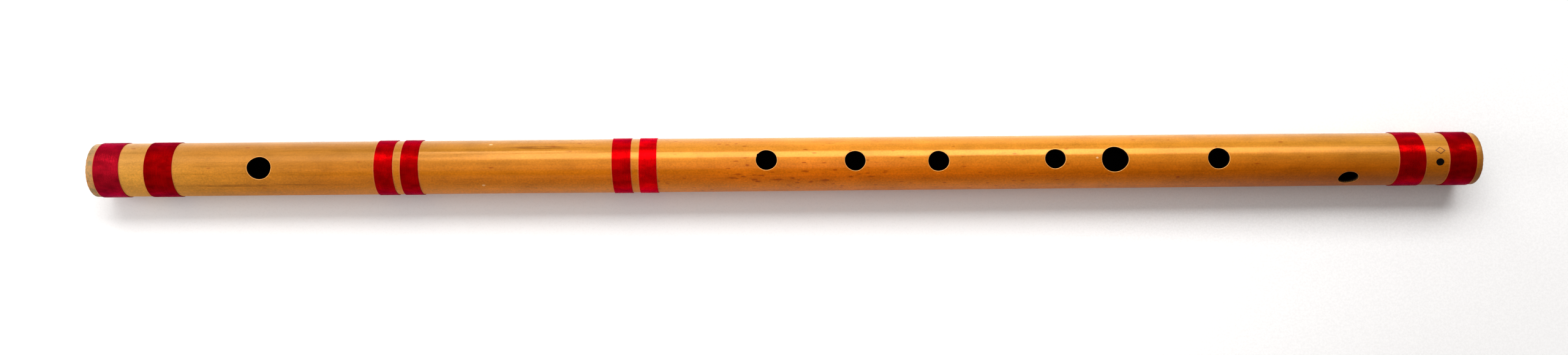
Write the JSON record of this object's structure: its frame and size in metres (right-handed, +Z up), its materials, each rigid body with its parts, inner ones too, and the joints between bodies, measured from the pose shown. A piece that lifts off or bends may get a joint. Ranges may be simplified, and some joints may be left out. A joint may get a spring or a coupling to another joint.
{
  "type": "bansuri",
  "caption": "Side-blown bamboo flute with an open foot, an oval blow hole, finger holes in a line, a side tuning hole, thread bindings and a sliding cork stopper.",
  "frame": {"origin": "under the middle of the flute's length, on the surface it lies on", "axes": "+X along the flute from the blowing end to the foot, +Z up through the blow hole, +Y away from the player's side, where the tuning hole leans towards -Y"},
  "size_m": [0.7636, 0.0308, 0.0307],
  "materials": {
    "bamboo": "glossy oiled honey-gold bamboo with fine lengthwise fibres, and darker cut ends and scorched hole walls",
    "thread": "satin red thread wound tightly, turn against turn",
    "cork": "matt natural cork with small dark pores"
  },
  "bodies": {
    "flute": {"bamboo_tube": "bamboo", "binding_head_1": "thread", "binding_head_2": "thread", "binding_upper_1": "thread", "binding_upper_2": "thread", "binding_middle_1": "thread", "binding_middle_2": "thread", "binding_foot_1": "thread", "binding_foot_2": "thread"},
    "stopper": {"cork_stopper": "cork"}
  },
  "joints": [
    {"name": "stopper_slide", "type": "slide", "parent": "flute", "child": "stopper", "axis": [1, 0, 0], "range_m": [-0.0465, 0.012]}
  ]
}
